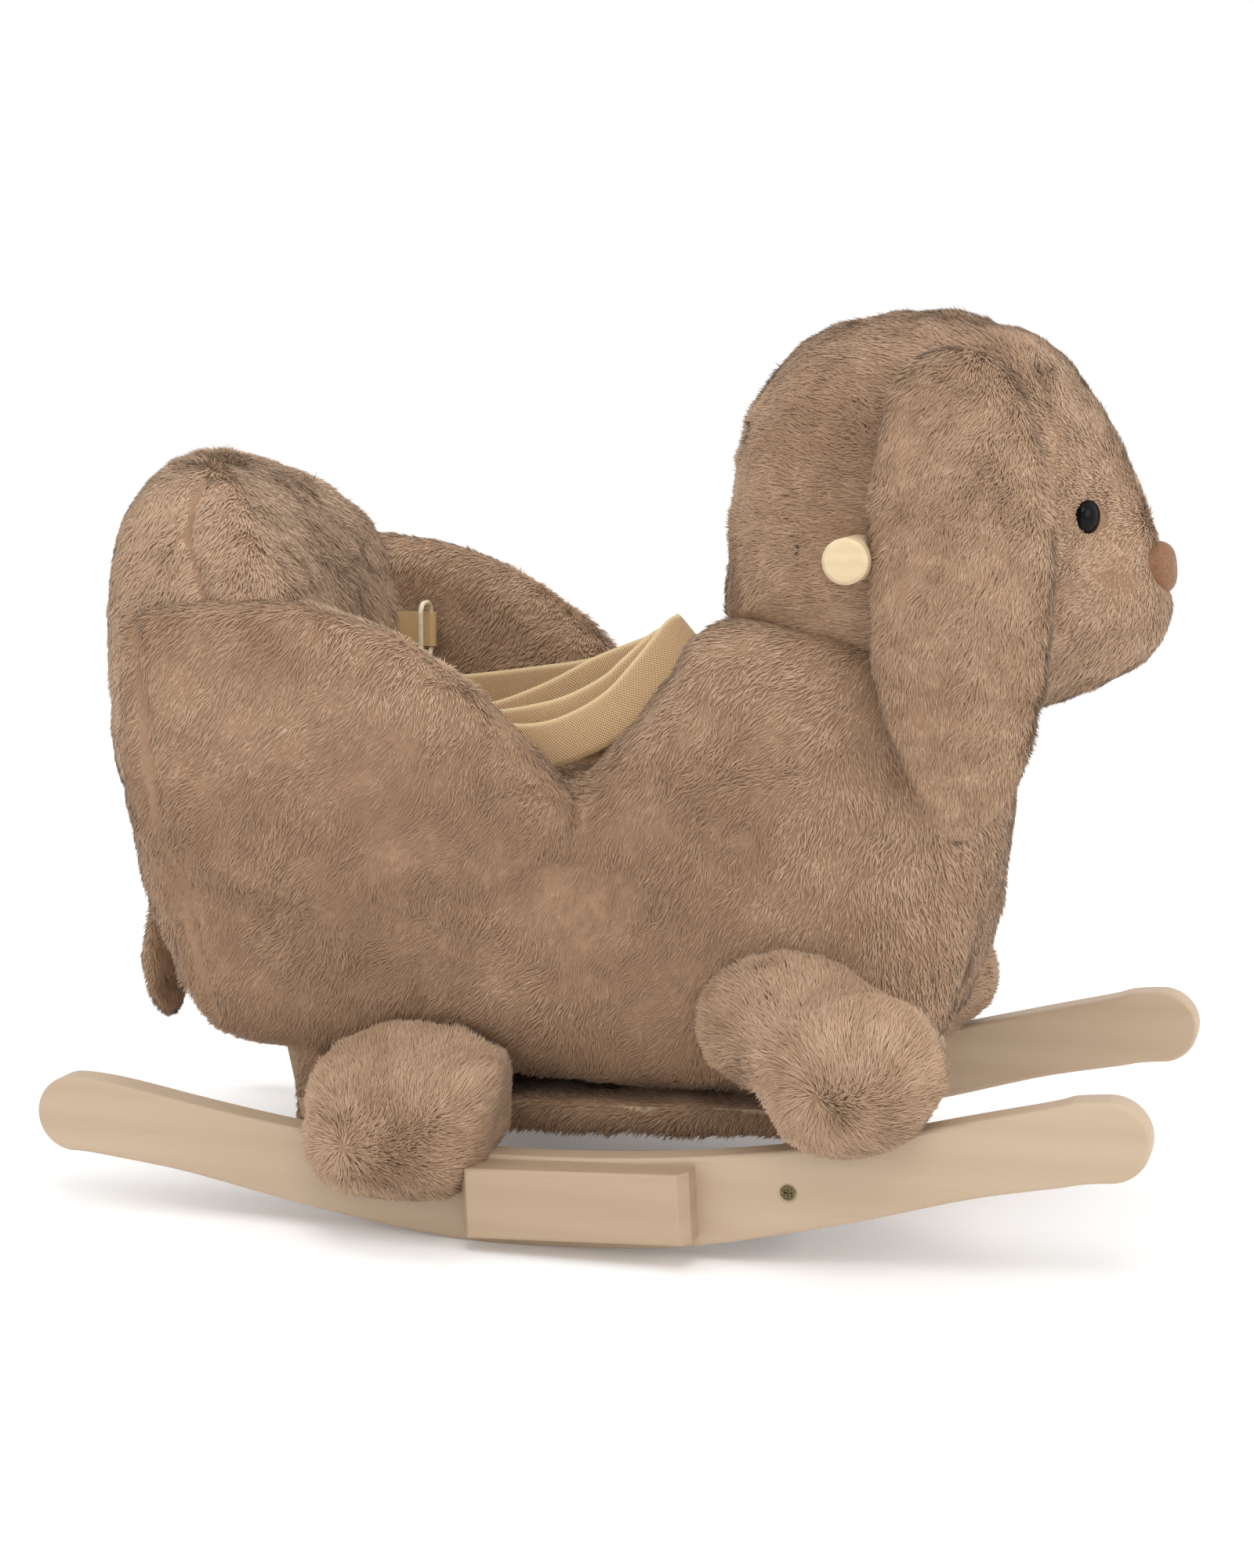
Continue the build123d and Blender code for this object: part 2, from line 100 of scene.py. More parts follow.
def puffed(flat, across, depth, half):
    """A flat outline filled like a cushion, at an offset across from its middle."""
    t = np.minimum(-flat / depth, 1)
    return (np.sqrt(np.maximum(1 - t, 0) ** 2 + (across / half) ** 2) - 1) * np.minimum(depth, half)


def slab(flat, across, half, round_by):
    """A flat outline with thickness and evenly rounded edges."""
    a, b = flat + round_by, np.abs(across) - half + round_by
    return np.minimum(np.maximum(a, b), 0) + np.hypot(np.maximum(a, 0), np.maximum(b, 0)) - round_by


def noise(p, size, seed):
    """Smooth random values from -1 to 1 with features of the given size."""
    q = p / size
    cell = np.floor(q).astype(np.int64)
    f = q - cell
    f = f * f * (3 - 2 * f)
    total = 0
    for dx in (0, 1):
        for dy in (0, 1):
            for dz in (0, 1):
                i, j, k = cell[:, 0] + dx, cell[:, 1] + dy, cell[:, 2] + dz
                n = i * 73856093 ^ j * 19349663 ^ k * 83492791
                n = (n ^ (seed * 7919)) & 0x7FFFFFFF
                n = ((n ^ (n >> 13)) * 1274126177) & 0x7FFFFFFF
                n = (n ^ (n >> 15)) & 0xFFFF
                weight = (f[:, 0] if dx else 1 - f[:, 0]) * (f[:, 1] if dy else 1 - f[:, 1])
                total = total + weight * (f[:, 2] if dz else 1 - f[:, 2]) * (n / 32767.5 - 1)
    return total


def noise3(p, size, seed):
    return np.stack([noise(p, size, seed + k) for k in range(3)], 1)


# ---------------------------------------------------------------- the plush shapes
body_side = closed_curve([
    (-308, 275), (-309, 240), (-305, 200), (-294, 168), (-280, 143), (-268, 120), (-256, 101),
    (-236, 87), (-195, 81), (-120, 80), (-60, 77), (0, 74), (60, 75), (120, 79), (170, 90), (194, 112),
    (209, 150), (222, 196), (233, 245), (239, 296), (194, 335), (110, 352), (58, 348), (34, 318),
    (8, 286), (-14, 262), (-40, 250), (-110, 247), (-200, 248), (-280, 262),
])
body_plan = closed_curve([
    (-313, 0), (-311, 50), (-305, 92), (-288, 116), (-250, 125), (-150, 127), (-40, 126), (60, 121),
    (130, 110), (186, 86), (220, 50), (232, 0), (220, -50), (186, -86), (130, -110), (60, -121),
    (-40, -126), (-150, -127), (-250, -125), (-288, -116), (-305, -92), (-311, -50),
])
ridge_side = closed_curve([
    (-284, 345), (-262, 356), (-220, 361), (-166, 357), (-120, 343), (-84, 322), (-54, 298), (-28, 272),
    (-8, 246), (-10, 215), (-60, 190), (-160, 180), (-250, 190), (-285, 230), (-292, 300),
])
back_side = closed_curve([
    (-300, 240), (-306, 300), (-309, 350), (-307, 394), (-299, 426), (-282, 447), (-260, 447),
    (-234, 432), (-210, 410), (-190, 376), (-174, 330), (-164, 262), (-196, 236), (-270, 232),
])
back_front = closed_curve([
    (0, 450), (44, 444), (78, 422), (102, 386), (116, 344), (122, 300), (120, 250), (60, 200), (0, 200),
    (-60, 200), (-120, 250), (-122, 300), (-116, 344), (-102, 386), (-78, 422), (-44, 444),
])
head_side = closed_curve([
    (58, 340), (56, 380), (57, 418), (63, 452), (79, 484), (105, 509), (140, 520), (174, 523),
    (206, 518), (239, 506), (266, 480), (284, 450), (298, 420), (308, 396), (303, 376), (302, 352),
    (287, 327), (264, 308), (240, 295), (180, 290), (110, 300),
])
ear_side = closed_curve([
    (196, 502), (176, 494), (163, 472), (159, 430), (159, 380), (162, 330), (174, 284), (192, 250),
    (204, 236), (218, 236), (238, 258), (252, 296), (260, 345), (262, 394), (256, 435), (240, 474),
    (220, 497),
])
hind_side = closed_curve([
    (-150, 96), (-136, 108), (-98, 113), (-56, 112), (-38, 103), (-40, 74), (-50, 44), (-74, 28),
    (-110, 25), (-142, 34), (-156, 60),
])
fore_side = closed_curve([
    (104, 126), (122, 146), (158, 156), (188, 152), (208, 132), (212, 106), (200, 84), (172, 68),
    (146, 66), (120, 84),
])


def body_field(x, y, z):
    side = outline_distance(x, z, body_side)
    plan = outline_distance(x, y, body_plan)
    tuck = 26 * np.clip((250 - z) / 110, 0, 1) * (y / 110) ** 2 * np.clip((-60 - x) / 160, 0, 1)
    haunch = 5 * np.exp(-(((x + 165) / 95) ** 2) - ((z - 185) / 70) ** 2)
    valley = 10 * np.exp(-(((x - 22) / 36) ** 2)) * np.clip((290 - z) / 90, 0, 1) * np.clip((z - 90) / 60, 0, 1)
    trunk = smooth_max(slab(side, y, 127 + haunch - valley, 66), plan + tuck - haunch + valley, 22)
    lift = np.where(y > 0, 28.0, 0.0) * np.clip((z - 235) / 60, 0, 1)
    ridge = slab(outline_distance(x, z - lift, ridge_side), np.abs(y) - 101, 28, 25)
    ridge = smooth_max(ridge, plan - 4, 10)
    return smooth_min(smooth_min(trunk, ridge, 14), under_field(x, y, z), 9) + pile_depth


def under_field(x, y, z):
    """The covered base board, which hangs under the belly and tilts with the toy."""
    board_middle = 62.5 + 0.049 * x
    half = 13 + 14 * np.clip((-145 - x) / 30, 0, 1)
    ends = np.hypot(np.maximum(np.abs(x + 18) - 156, 0), np.maximum(np.abs(y) - 80, 0)) - 20
    return slab(ends, z - board_middle - half + 13, half, 9)


def back_field(x, y, z):
    side = outline_distance(x, z, back_side)
    front = outline_distance(y, z, back_front)
    lobe = smooth_max(slab(side, y, 128, 44), front, 26)
    hollow = ellipsoid(x, y, z, (-60, 0, 330), (112, 88, 160))
    return smooth_max(lobe, -hollow, 16) + pile_depth


def head_field(x, y, z):
    side = outline_distance(x, z, head_side)
    half = 98 - 60 * np.clip((x - 200) / 105, 0, 1) ** 1.1
    skull = puffed(side, y, 92, half)
    cheek = ellipsoid(x, np.abs(y), z, (190, 40, 356), (70, 52, 54))
    snout = ellipsoid(x, y, z, (260, 0, 354), (48, 48, 40))
    eye_gap = np.sqrt((x - 267) ** 2 + (np.abs(y) - 38) ** 2 + (z - 407) ** 2)
    face = smooth_min(smooth_min(skull, cheek, 24), snout, 20)
    return face + 6 * np.exp(-((eye_gap / 20) ** 2)) + 0.8 * pile_depth


def ear_field(x, y, z, swing=0.0):
    x = x + swing * np.maximum(370 - z, 0)
    drop = np.clip((500 - z) / 250, 0, 1)
    middle = 84 + 33 * np.sin(np.pi / 2 * np.clip(drop * 1.9, 0, 1)) - 5 * drop**2
    across = -y - middle - 4 * np.cos((x - 210) / 34)
    return puffed(outline_distance(x, z, ear_side), across, 16, 11) + 0.5 * pile_depth


def hind_field(x, y, z):
    stub = slab(outline_distance(x, z - 6 * np.clip((-y - 120) / -60, -1, 1), hind_side), y + 146, 46, 42)
    root = ellipsoid(x, y, z, (-97, -128, 76), (56, 30, 44))
    return smooth_min(stub, root, 12) + pile_depth


def fore_field(x, y, z):
    stub = slab(outline_distance(x, z, fore_side), y + 146, 46, 42)
    root = ellipsoid(x, y, z, (122, -120, 130), (54, 40, 41))
    return smooth_min(stub, root, 16) + pile_depth


def far_fore_field(x, y, z):
    return fore_field(x + 18, y - 16, z)


def tail_field(x, y, z):
    bent = x + 316 - 4 * ((z - 124) / 40) ** 2
    return ellipsoid(bent, y, z - 124, (0, 0, 0), (7.5, 24, 39))


def mirrored(field):
    return lambda x, y, z: field(x, -y, z)


def unturned(field):
    return field


def far_ear_field(x, y, z):
    return ear_field(x, y, z, 0.33)


# ---------------------------------------------------------------- meshes
def surface(field, low, high, step):
    """Mesh round a field's zero level: one point per crossed cell, one quad per crossed grid edge."""
    axes = [np.arange(a, b + step, step) for a, b in zip(low, high)]
    values = field(axes[0][:, None, None], axes[1][None, :, None], axes[2][None, None, :])
    values = np.broadcast_to(values, [len(a) for a in axes])
    cells = [n - 1 for n in values.shape]
    total, count = np.zeros((*cells, 3)), np.zeros(cells)
    for axis in range(3):
        others = [k for k in range(3) if k != axis]
        for first in (0, 1):
            for second in (0, 1):
                start = [0, 0, 0]
                start[others[0]], start[others[1]] = first, second
                end = list(start)
                end[axis] = 1
                a = values[tuple(slice(s, s + n) for s, n in zip(start, cells))]
                b = values[tuple(slice(s, s + n) for s, n in zip(end, cells))]
                crossed = (a < 0) != (b < 0)
                spot = np.zeros((*cells, 3))
                spot[...] = start
                spot[..., axis] = np.where(crossed, a / np.where(crossed, a - b, 1), 0)
                total += spot * crossed[..., None]
                count += crossed
    used = count > 0
    number = np.full(cells, -1)
    number[used] = np.arange(used.sum())
    points = (np.argwhere(used) + total[used] / count[used][:, None]) * step + np.array(low)
    quads = []
    for axis in range(3):
        u, v = [(axis + 1) % 3, (axis + 2) % 3]
        a = np.moveaxis(values, (axis, u, v), (0, 1, 2))
        cell = np.moveaxis(number, (axis, u, v), (0, 1, 2))
        before, after = a[:-1, 1:-1, 1:-1] < 0, a[1:, 1:-1, 1:-1] < 0
        ring = [cell[:, :-1, :-1], cell[:, 1:, :-1], cell[:, 1:, 1:], cell[:, :-1, 1:]]
        out = before & ~after
        back = ~before & after
        quads.append(np.stack([c[out] for c in ring], 1))
        quads.append(np.stack([c[back] for c in ring[::-1]], 1))
    return points, np.concatenate(quads)


def point_normals(points, quads):
    a, b, c, d = [points[quads[:, k]] for k in range(4)]
    face = np.cross(c - a, d - b)
    normals = np.zeros_like(points)
    for k in range(4):
        np.add.at(normals, quads[:, k], face)
    return normals / (np.linalg.norm(normals, axis=1, keepdims=True) + 1e-9)


def mesh_object(name, points, faces, materials=(), slots=None):
    """points in the drawing's millimetres, faces all with the same number of corners."""
    mesh = bpy.data.meshes.new(name)
    corners = faces.shape[1]
    mesh.vertices.add(len(points))
    mesh.vertices.foreach_set("co", ((points + (shift, 0, 0)) * mm).astype(np.float32).ravel())
    mesh.loops.add(faces.size)
    mesh.loops.foreach_set("vertex_index", faces.astype(np.int32).ravel())
    mesh.polygons.add(len(faces))
    mesh.polygons.foreach_set("loop_start", np.arange(0, faces.size, corners, dtype=np.int32))
    mesh.polygons.foreach_set("loop_total", np.full(len(faces), corners, dtype=np.int32))
    for material in materials:
        mesh.materials.append(material)
    if slots is not None:
        mesh.polygons.foreach_set("material_index", slots.astype(np.int32))
    mesh.polygons.foreach_set("use_smooth", np.ones(len(faces), bool))
    mesh.update(calc_edges=True)
    mesh.validate()
    obj = bpy.data.objects.new(name, mesh)
    scene.collection.objects.link(obj)
    return obj


# ---------------------------------------------------------------- materials
def new_material(name):
    mat = bpy.data.materials.new(name)
    mat.use_nodes = True
    nodes, links = mat.node_tree.nodes, mat.node_tree.links
    return mat, nodes, links, nodes["Principled BSDF"]


def ramp(nodes, stops):
    node = nodes.new("ShaderNodeValToRGB")
    first, last = node.color_ramp.elements
    first.position, first.color = stops[0][0], (*stops[0][1], 1)
    last.position, last.color = stops[-1][0], (*stops[-1][1], 1)
    for place, colour in stops[1:-1]:
        node.color_ramp.elements.new(place).color = (*colour, 1)
    return node


def coordinates(nodes, links, scale=(1, 1, 1), turn=(0, 0, 0)):
    """Object coordinates, scaled and turned."""
    source = nodes.new("ShaderNodeTexCoord")
    mapping = nodes.new("ShaderNodeMapping")
    mapping.inputs["Scale"].default_value = scale
    mapping.inputs["Rotation"].default_value = turn
    links.new(source.outputs["Object"], mapping.inputs["Vector"])
    return mapping.outputs["Vector"]


def noise_node(nodes, links, vector, scale, detail=4, rough=0.55):
    node = nodes.new("ShaderNodeTexNoise")
    node.inputs["Scale"].default_value = scale
    node.inputs["Detail"].default_value = detail
    node.inputs["Roughness"].default_value = rough
    links.new(vector, node.inputs["Vector"])
    return node.outputs["Fac"]


def bump(nodes, links, shader, height, strength, distance):
    node = nodes.new("ShaderNodeBump")
    node.inputs["Strength"].default_value = strength
    node.inputs["Distance"].default_value = distance
    links.new(height, node.inputs["Height"])
    links.new(node.outputs["Normal"], shader.inputs["Normal"])


fur_tones = [
    (0.330, 0.198, 0.118),
    (0.385, 0.238, 0.145),
    (0.440, 0.280, 0.174),
    (0.495, 0.323, 0.206),
    (0.550, 0.368, 0.242),
]


def fur_skin_material():
    """The knitted backing between the tufts, made darker than their tips as painted shade between them."""
    mat, nodes, links, shader = new_material("plush_backing")
    place = coordinates(nodes, links)
    broad = noise_node(nodes, links, place, 18, 3)
    fine = noise_node(nodes, links, place, 420, 3)
    mix = nodes.new("ShaderNodeMath")
    mix.operation = "MULTIPLY_ADD"
    mix.inputs[1].default_value = 0.45
    links.new(fine, mix.inputs[0])
    half = nodes.new("ShaderNodeMath")
    half.operation = "MULTIPLY"
    half.inputs[1].default_value = 0.55
    links.new(broad, half.inputs[0])
    links.new(half.outputs[0], mix.inputs[2])
    stops = [(0.3, (0.26, 0.155, 0.092)), (0.55, (0.33, 0.205, 0.127)), (0.75, (0.40, 0.26, 0.165))]
    colour = ramp(nodes, stops)
    links.new(mix.outputs[0], colour.inputs["Fac"])
    links.new(colour.outputs["Color"], shader.inputs["Base Color"])
    shader.inputs["Roughness"].default_value = 0.95
    shader.inputs["Specular IOR Level"].default_value = 0.15
    bump(nodes, links, shader, fine, 0.6, 0.0015)
    return mat


def fur_tone_material(level):
    """One tone of the pile, given to tufts for their dye variation and for painted light and shade; duller and
    shinier along its strands.
    """
    mat, nodes, links, shader = new_material(f"plush_pile_{level}")
    place = coordinates(nodes, links)
    gloss = noise_node(nodes, links, place, 160, 2)
    span = nodes.new("ShaderNodeMapRange")
    span.inputs["To Min"].default_value = 0.5
    span.inputs["To Max"].default_value = 0.85
    links.new(gloss, span.inputs["Value"])
    links.new(span.outputs["Result"], shader.inputs["Roughness"])
    shader.inputs["Base Color"].default_value = (*fur_tones[level], 1)
    shader.inputs["Specular IOR Level"].default_value = 0.3
    shader.inputs["Sheen Weight"].default_value = 0.2
    shader.inputs["Sheen Roughness"].default_value = 0.5
    shader.inputs["Sheen Tint"].default_value = (1.0, 0.82, 0.66, 1)
    return mat


backing = fur_skin_material()
tones = [fur_tone_material(level) for level in range(len(fur_tones))]


# ---------------------------------------------------------------- pile
def unit(v):
    return v / (np.linalg.norm(v, axis=1, keepdims=True) + 1e-9)


def grow_pile(name, points, quads, flow, count, length, hidden, seed, bright=0.0, lean=2.3, width=0.8,
              trim=None):
    """Tufts on a skin. flow(p, n) is the way the nap lies; hidden(p) is true where no tuft can be seen."""
    rng = np.random.default_rng(seed)
    tris = np.concatenate([quads[:, [0, 1, 2]], quads[:, [0, 2, 3]]])
    normals = point_normals(points, quads)
    a, b, c = [points[tris[:, k]] for k in range(3)]
    area = np.linalg.norm(np.cross(b - a, c - a), axis=1) / 2
    pick = rng.choice(len(tris), int(count * 1.6), p=area / area.sum())
    u, v = rng.random((2, len(pick), 1))
    over = u + v > 1
    u, v = np.where(over, 1 - u, u), np.where(over, 1 - v, v)
    root = a[pick] * (1 - u - v) + b[pick] * u + c[pick] * v
    n = unit(sum(normals[tris[pick, k]] * w for k, w in enumerate((1 - u - v, u, v))))
    keep = np.flatnonzero(~hidden(root))[:count]
    root, n = root[keep], n[keep]
    nap = flow(root, n)
    nap = nap - n * (nap * n).sum(1, keepdims=True)
    nap = unit(nap) + 0.5 * noise3(root, 38, 3) + 0.42 * noise3(root, 9, 9)
    nap = nap + 0.16 * rng.normal(size=nap.shape)
    nap = nap - n * (nap * n).sum(1, keepdims=True)
    reach = lean * (1 + 0.35 * noise(root, 22, 21))[:, None]
    aim = unit(n + nap * reach)
    long = length * (0.8 + 0.4 * rng.random((len(root), 1))) * (1 + 0.15 * noise(root, 12, 5))[:, None]
    if trim:
        long = long * trim(root)[:, None]
    side = unit(np.cross(aim, n) + 1e-6 * rng.normal(size=n.shape))
    up = np.cross(side, aim)
    foot = root - n * 1.2
    tip = foot + aim * long - n * (0.06 * long)
    half = width * (0.8 + 0.4 * rng.random((len(root), 1))) / 2
    middle = foot + aim * long * 0.45 + n * (0.05 * long)
    corners = np.stack([middle + side * half, middle - side * half, foot + up * half, tip], 1)
    verts = corners.reshape(-1, 3)
    base = 4 * np.arange(len(root))[:, None, None]
    faces = (base + np.array([[0, 1, 2], [0, 3, 1], [0, 2, 3], [1, 3, 2]])[None]).reshape(-1, 3)
    # Each tuft's tone: random dye variation plus the painted light and shade.
    shade = (
        0.5 + painted_lightness(root, bright) + 0.22 * noise(root, 46, 11) + 0.2 * noise(root, 17, 12) + 0.2 * noise(root, 6, 13)
        + 0.12 * rng.normal(size=len(root))
    )
    level = np.clip((shade * len(tones)).astype(int), 0, len(tones) - 1)
    soft = np.stack([unit(0.6 * n + 0.75 * side), unit(0.6 * n - 0.75 * side), unit(n + 0.3 * up), n], 1)
    made = []
    for k, first in enumerate(range(0, len(root), tufts_a_piece)):
        part = slice(first, first + tufts_a_piece)
        some = len(root[part])
        obj = mesh_object(f"{name}_{k + 1}", verts.reshape(-1, 4, 3)[part].reshape(-1, 3), faces[: 4 * some], tones,
                          np.repeat(level[part], 4))
        obj.data.normals_split_custom_set_from_vertices(soft[part].reshape(-1, 3).tolist())
        made.append(obj)
    return made


def painted_lightness(p, bright):
    """Painted light and shade: how much lighter the pile is made at a place, given as a number or as a function of
    the place.
    """
    return bright(p) if callable(bright) else bright


def body_painted_light(p):
    """Painted light and shade: the lower flanks are made darker than the chest and the seat, and the far bolster's
    top lighter.
    """
    flank = np.clip((np.abs(p[:, 1]) - 60) / 50, 0, 1) * np.clip((120 - p[:, 0]) / 60, 0, 1)
    far_bolster = 0.2 * np.clip((p[:, 1] - 30) / 30, 0, 1) * np.clip((p[:, 2] - 240) / 40, 0, 1)
    return far_bolster - 0.42 * flank * np.clip((300 - p[:, 2]) / 60, 0, 1)


def face_trim(p):
    """The pile is clipped short on the face."""
    return 1 - 0.18 * np.clip((p[:, 0] - 215) / 45, 0, 1)


def head_painted_light(p):
    """Painted light and shade: the pile on the face is made lighter, and on the crown and the cheeks darker."""
    return -0.25 + 0.46 * np.clip((p[:, 0] - 215) / 50, 0, 1)


tufts_a_piece = 49000
skins = {}


def seam_distance(p, lines):
    """How far points on the sides are from the seams, drawn in side view, and the way away from them."""
    best, away = np.full(len(p), 1e3), np.zeros_like(p)
    for line in lines:
        for a, b in zip(np.array(line[:-1], float), np.array(line[1:], float)):
            q = p[:, [0, 2]] - a
            t = np.clip((q @ (b - a)) / ((b - a) @ (b - a)), 0, 1)
            gap = q - t[:, None] * (b - a)
            d = np.linalg.norm(gap, axis=1)
            near = (d < best) & (np.abs(p[:, 1]) > 55)
            best[near] = d[near]
            away[near] = np.stack([gap[near, 0], 0 * d[near], gap[near, 1]], 1) / (d[near, None] + 1e-6)
    return best, away


def plush(name, nodes, body, field, low, high, step, flow, count, length=7.5, fill=0.8, **more):
    """A stuffed piece: its skin, and the pile on it."""
    points, quads = surface(field, low, high, step)
    points += 1.6 * (noise(points, 30, 51) + 0.5 * noise(points, 14, 52))[:, None] * point_normals(points, quads)
    lines = seams.get(name, [])
    if lines:
        d = seam_distance(points, lines)[0]
        points -= point_normals(points, quads) * (3.4 * np.exp(-((d / 4) ** 2)))[:, None]
        plain = flow

        def flow(p, n):
            d, away = seam_distance(p, lines)
            return unit(plain(p, n)) + away * (0.55 * np.exp(-((d / 6) ** 2)))[:, None]
    skin = mesh_object(name, points, quads, [backing])
    skins[name] = field
    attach(skin, body)
    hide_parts(*nodes)

    def hidden(p):
        x, y, z = p.T
        covered = (np.linalg.norm((p - eye_middle) * (1, 0, 1), axis=1) < 6.8) & (x > 240)
        covered |= np.linalg.norm(p - nose_middle, axis=1) < 16
        covered |= (np.hypot(x - 151, z - 386.5) < 14) & (np.abs(y) > 60)
        for other, shape in skins.items():
            if other != name and other in fixed_skins:
                covered |= shape(x, y, z) < -4
        return covered

    for pile in grow_pile(name + "_pile", points, quads, flow, count, length, hidden, len(skins) * 101, **more):
        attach(pile, body)


def on_side(low, high, sign):
    """A box drawn on the right side, or its mirror image when sign is -1."""
    if sign > 0:
        return low, high
    return (low[0], -high[1], low[2]), (high[0], -low[1], high[2])


def toward(*way):
    return lambda p, n: np.broadcast_to(np.array(way, float), p.shape)


def body_nap(p, n):
    """Back and down over the flanks, down the chest."""
    way = np.zeros_like(p)
    way[:, 0] = -0.6 + 1.1 * np.clip((p[:, 0] - 120) / 100, 0, 1)
    way[:, 2] = -1.0
    return way


def head_nap(p, n):
    """Away from the nose, back over the crown and down the nape."""
    way = p - np.array((318.0, 0, 372))
    way[:, 2] -= 40
    return way


def paw_nap(middle):
    """Swirls outward round the middle of the paw's end."""
    def nap(p, n):
        out = p - np.array(middle, float)
        out[:, 1] = 0
        turn = np.stack([-out[:, 2], out[:, 1], out[:, 0]], 1)
        way = unit(out) + 0.5 * unit(turn)
        way[:, 1] += 0.7
        return way
    return nap


back_seam = [(-254, 440), (-250, 421), (-247, 393), (-230, 358)]
rump_seam = [(-276, 356), (-271, 343), (-263, 275), (-256, 215), (-245, 150), (-236, 112)]
seams = {"back_plush": [back_seam], "body_plush": [rump_seam]}
eye_middle, nose_middle = np.array((272.0, 0, 407)), np.array((306.0, 0, 378))
fixed_skins = ("body_plush", "back_plush", "head_plush")
skins.update({"body_plush": body_field, "back_plush": back_field, "head_plush": head_field})

plush("body_plush", ["torso", "bolster_right", "bolster_left", "seat_cushion"], "rocker", body_field,
      (-330, -145, 40), (260, 145, 408), 4, body_nap, 240000, bright=body_painted_light)
# Painted light: the backrest's pile is made lighter, as lit from above.
plush("back_plush", ["backrest"], "rocker", back_field, (-330, -140, 190), (-130, 140, 460), 4,
      toward(-0.25, 0, -1), 80000, bright=0.48)
plush("head_plush", ["head"], "rocker", head_field, (40, -115, 280), (330, 115, 540), 4, head_nap, 150000, bright=head_painted_light,
      trim=face_trim)
sides = (("right", 1, ear_field, fore_field), ("left", -1, far_ear_field, far_fore_field))
for side, sign, hang, fore in sides:
    turn = mirrored if sign < 0 else unturned
    low, high = on_side((100, -150, 228), (275, -60, 512), sign)
    plush(f"ear_plush_{side}", [f"ear_{side}"], f"ear_{side}", turn(hang), low, high, 3,
          toward(-0.12, 0, -1), 70000, fill=0.4)
    low, high = on_side((-170, -205, 10), (-20, -90, 145), sign)
    # Painted light: the paws' pile is made a little lighter, the fore paws more than the hind.
    plush(f"hind_paw_{side}", [f"leg_rear_{side}"], "rocker", turn(hind_field), low, high, 3.5,
          paw_nap((-118, -190 * sign, 60)), 49000, length=9.5, lean=1.7, bright=0.07)
    low, high = on_side((60, -205, 45), (230, -60, 185), sign)
    plush(f"fore_paw_{side}", [f"leg_front_{side}"], "rocker", turn(fore), low, high, 3.5,
          paw_nap((150, -190 * sign, 108)), 49000, length=9.5, lean=1.7, bright=0.13)
plush("tail_plush", ["tail"], "tail", tail_field, (-340, -36, 70), (-290, 36, 178), 2.5,
      toward(0, 0, -1), 9000, length=8)


# ---------------------------------------------------------------- hard pieces' materials
def wood_material(name, along, light, dark, bands):
    """Planed pale wood with its grain along one axis."""
    mat, nodes, links, shader = new_material(name)
    stretch = [26, 26, 26]
    stretch["XYZ".index(along)] = 2.2
    place = coordinates(nodes, links, tuple(stretch))
    wander = noise_node(nodes, links, place, 1.3, 3, 0.5)
    fibre_scale = [900, 900, 900]
    fibre_scale["XYZ".index(along)] = 22
    fibre = noise_node(nodes, links, coordinates(nodes, links, tuple(fibre_scale)), 1, 2, 0.6)
    wave = nodes.new("ShaderNodeTexWave")
    wave.bands_direction = "Z" if along != "Z" else "X"
    wave.inputs["Scale"].default_value = bands
    wave.inputs["Distortion"].default_value = 5
    wave.inputs["Detail"].default_value = 2
    wave.inputs["Detail Scale"].default_value = 1.2
    links.new(place, wave.inputs["Vector"])
    grain = nodes.new("ShaderNodeMix")
    grain.data_type = "FLOAT"
    grain.inputs[0].default_value = 0.22
    links.new(wander, grain.inputs[2])
    links.new(wave.outputs["Fac"], grain.inputs[3])
    total = nodes.new("ShaderNodeMix")
    total.data_type = "FLOAT"
    total.inputs[0].default_value = 0.3
    links.new(grain.outputs[0], total.inputs[2])
    links.new(fibre, total.inputs[3])
    middle = tuple((a + b) / 2 for a, b in zip(light, dark))
    colour = ramp(nodes, [(0.25, dark), (0.5, middle), (0.7, light)])
    links.new(total.outputs[0], colour.inputs["Fac"])
    links.new(colour.outputs["Color"], shader.inputs["Base Color"])
    span = nodes.new("ShaderNodeMapRange")
    span.inputs["To Min"].default_value = 0.42
    span.inputs["To Max"].default_value = 0.62
    links.new(fibre, span.inputs["Value"])
    links.new(span.outputs["Result"], shader.inputs["Roughness"])
    bump(nodes, links, shader, fibre, 0.25, 0.0003)
    return mat


def dress(material, *names):
    for name in names:
        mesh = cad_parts[name].data
        mesh.materials.clear()
        mesh.materials.append(material)


pine_x = wood_material("pale_wood_along_x", "X", (0.52, 0.395, 0.275), (0.45, 0.33, 0.222), 0.5)
pine_y = wood_material("pale_wood_along_y", "Y", (0.48, 0.355, 0.24), (0.40, 0.29, 0.19), 0.5)
dowel_wood = wood_material("dowel_wood", "Y", (0.68, 0.54, 0.34), (0.58, 0.44, 0.26), 1.6)
ply = wood_material("plywood", "X", (0.55, 0.40, 0.25), (0.40, 0.28, 0.17), 2)
dress(pine_x, "rocker_right", "rocker_left")
dress(wood_material("foot_rest_wood", "X", (0.46, 0.335, 0.222), (0.40, 0.285, 0.185), 0.6), "foot_rest_right",
      "foot_rest_left")
dress(pine_y, "rear_rail", "front_rail", "rail_dowel_pins")
dress(dowel_wood, "handle_dowel")
dress(ply, "base_board", "back_board", "neck_board")


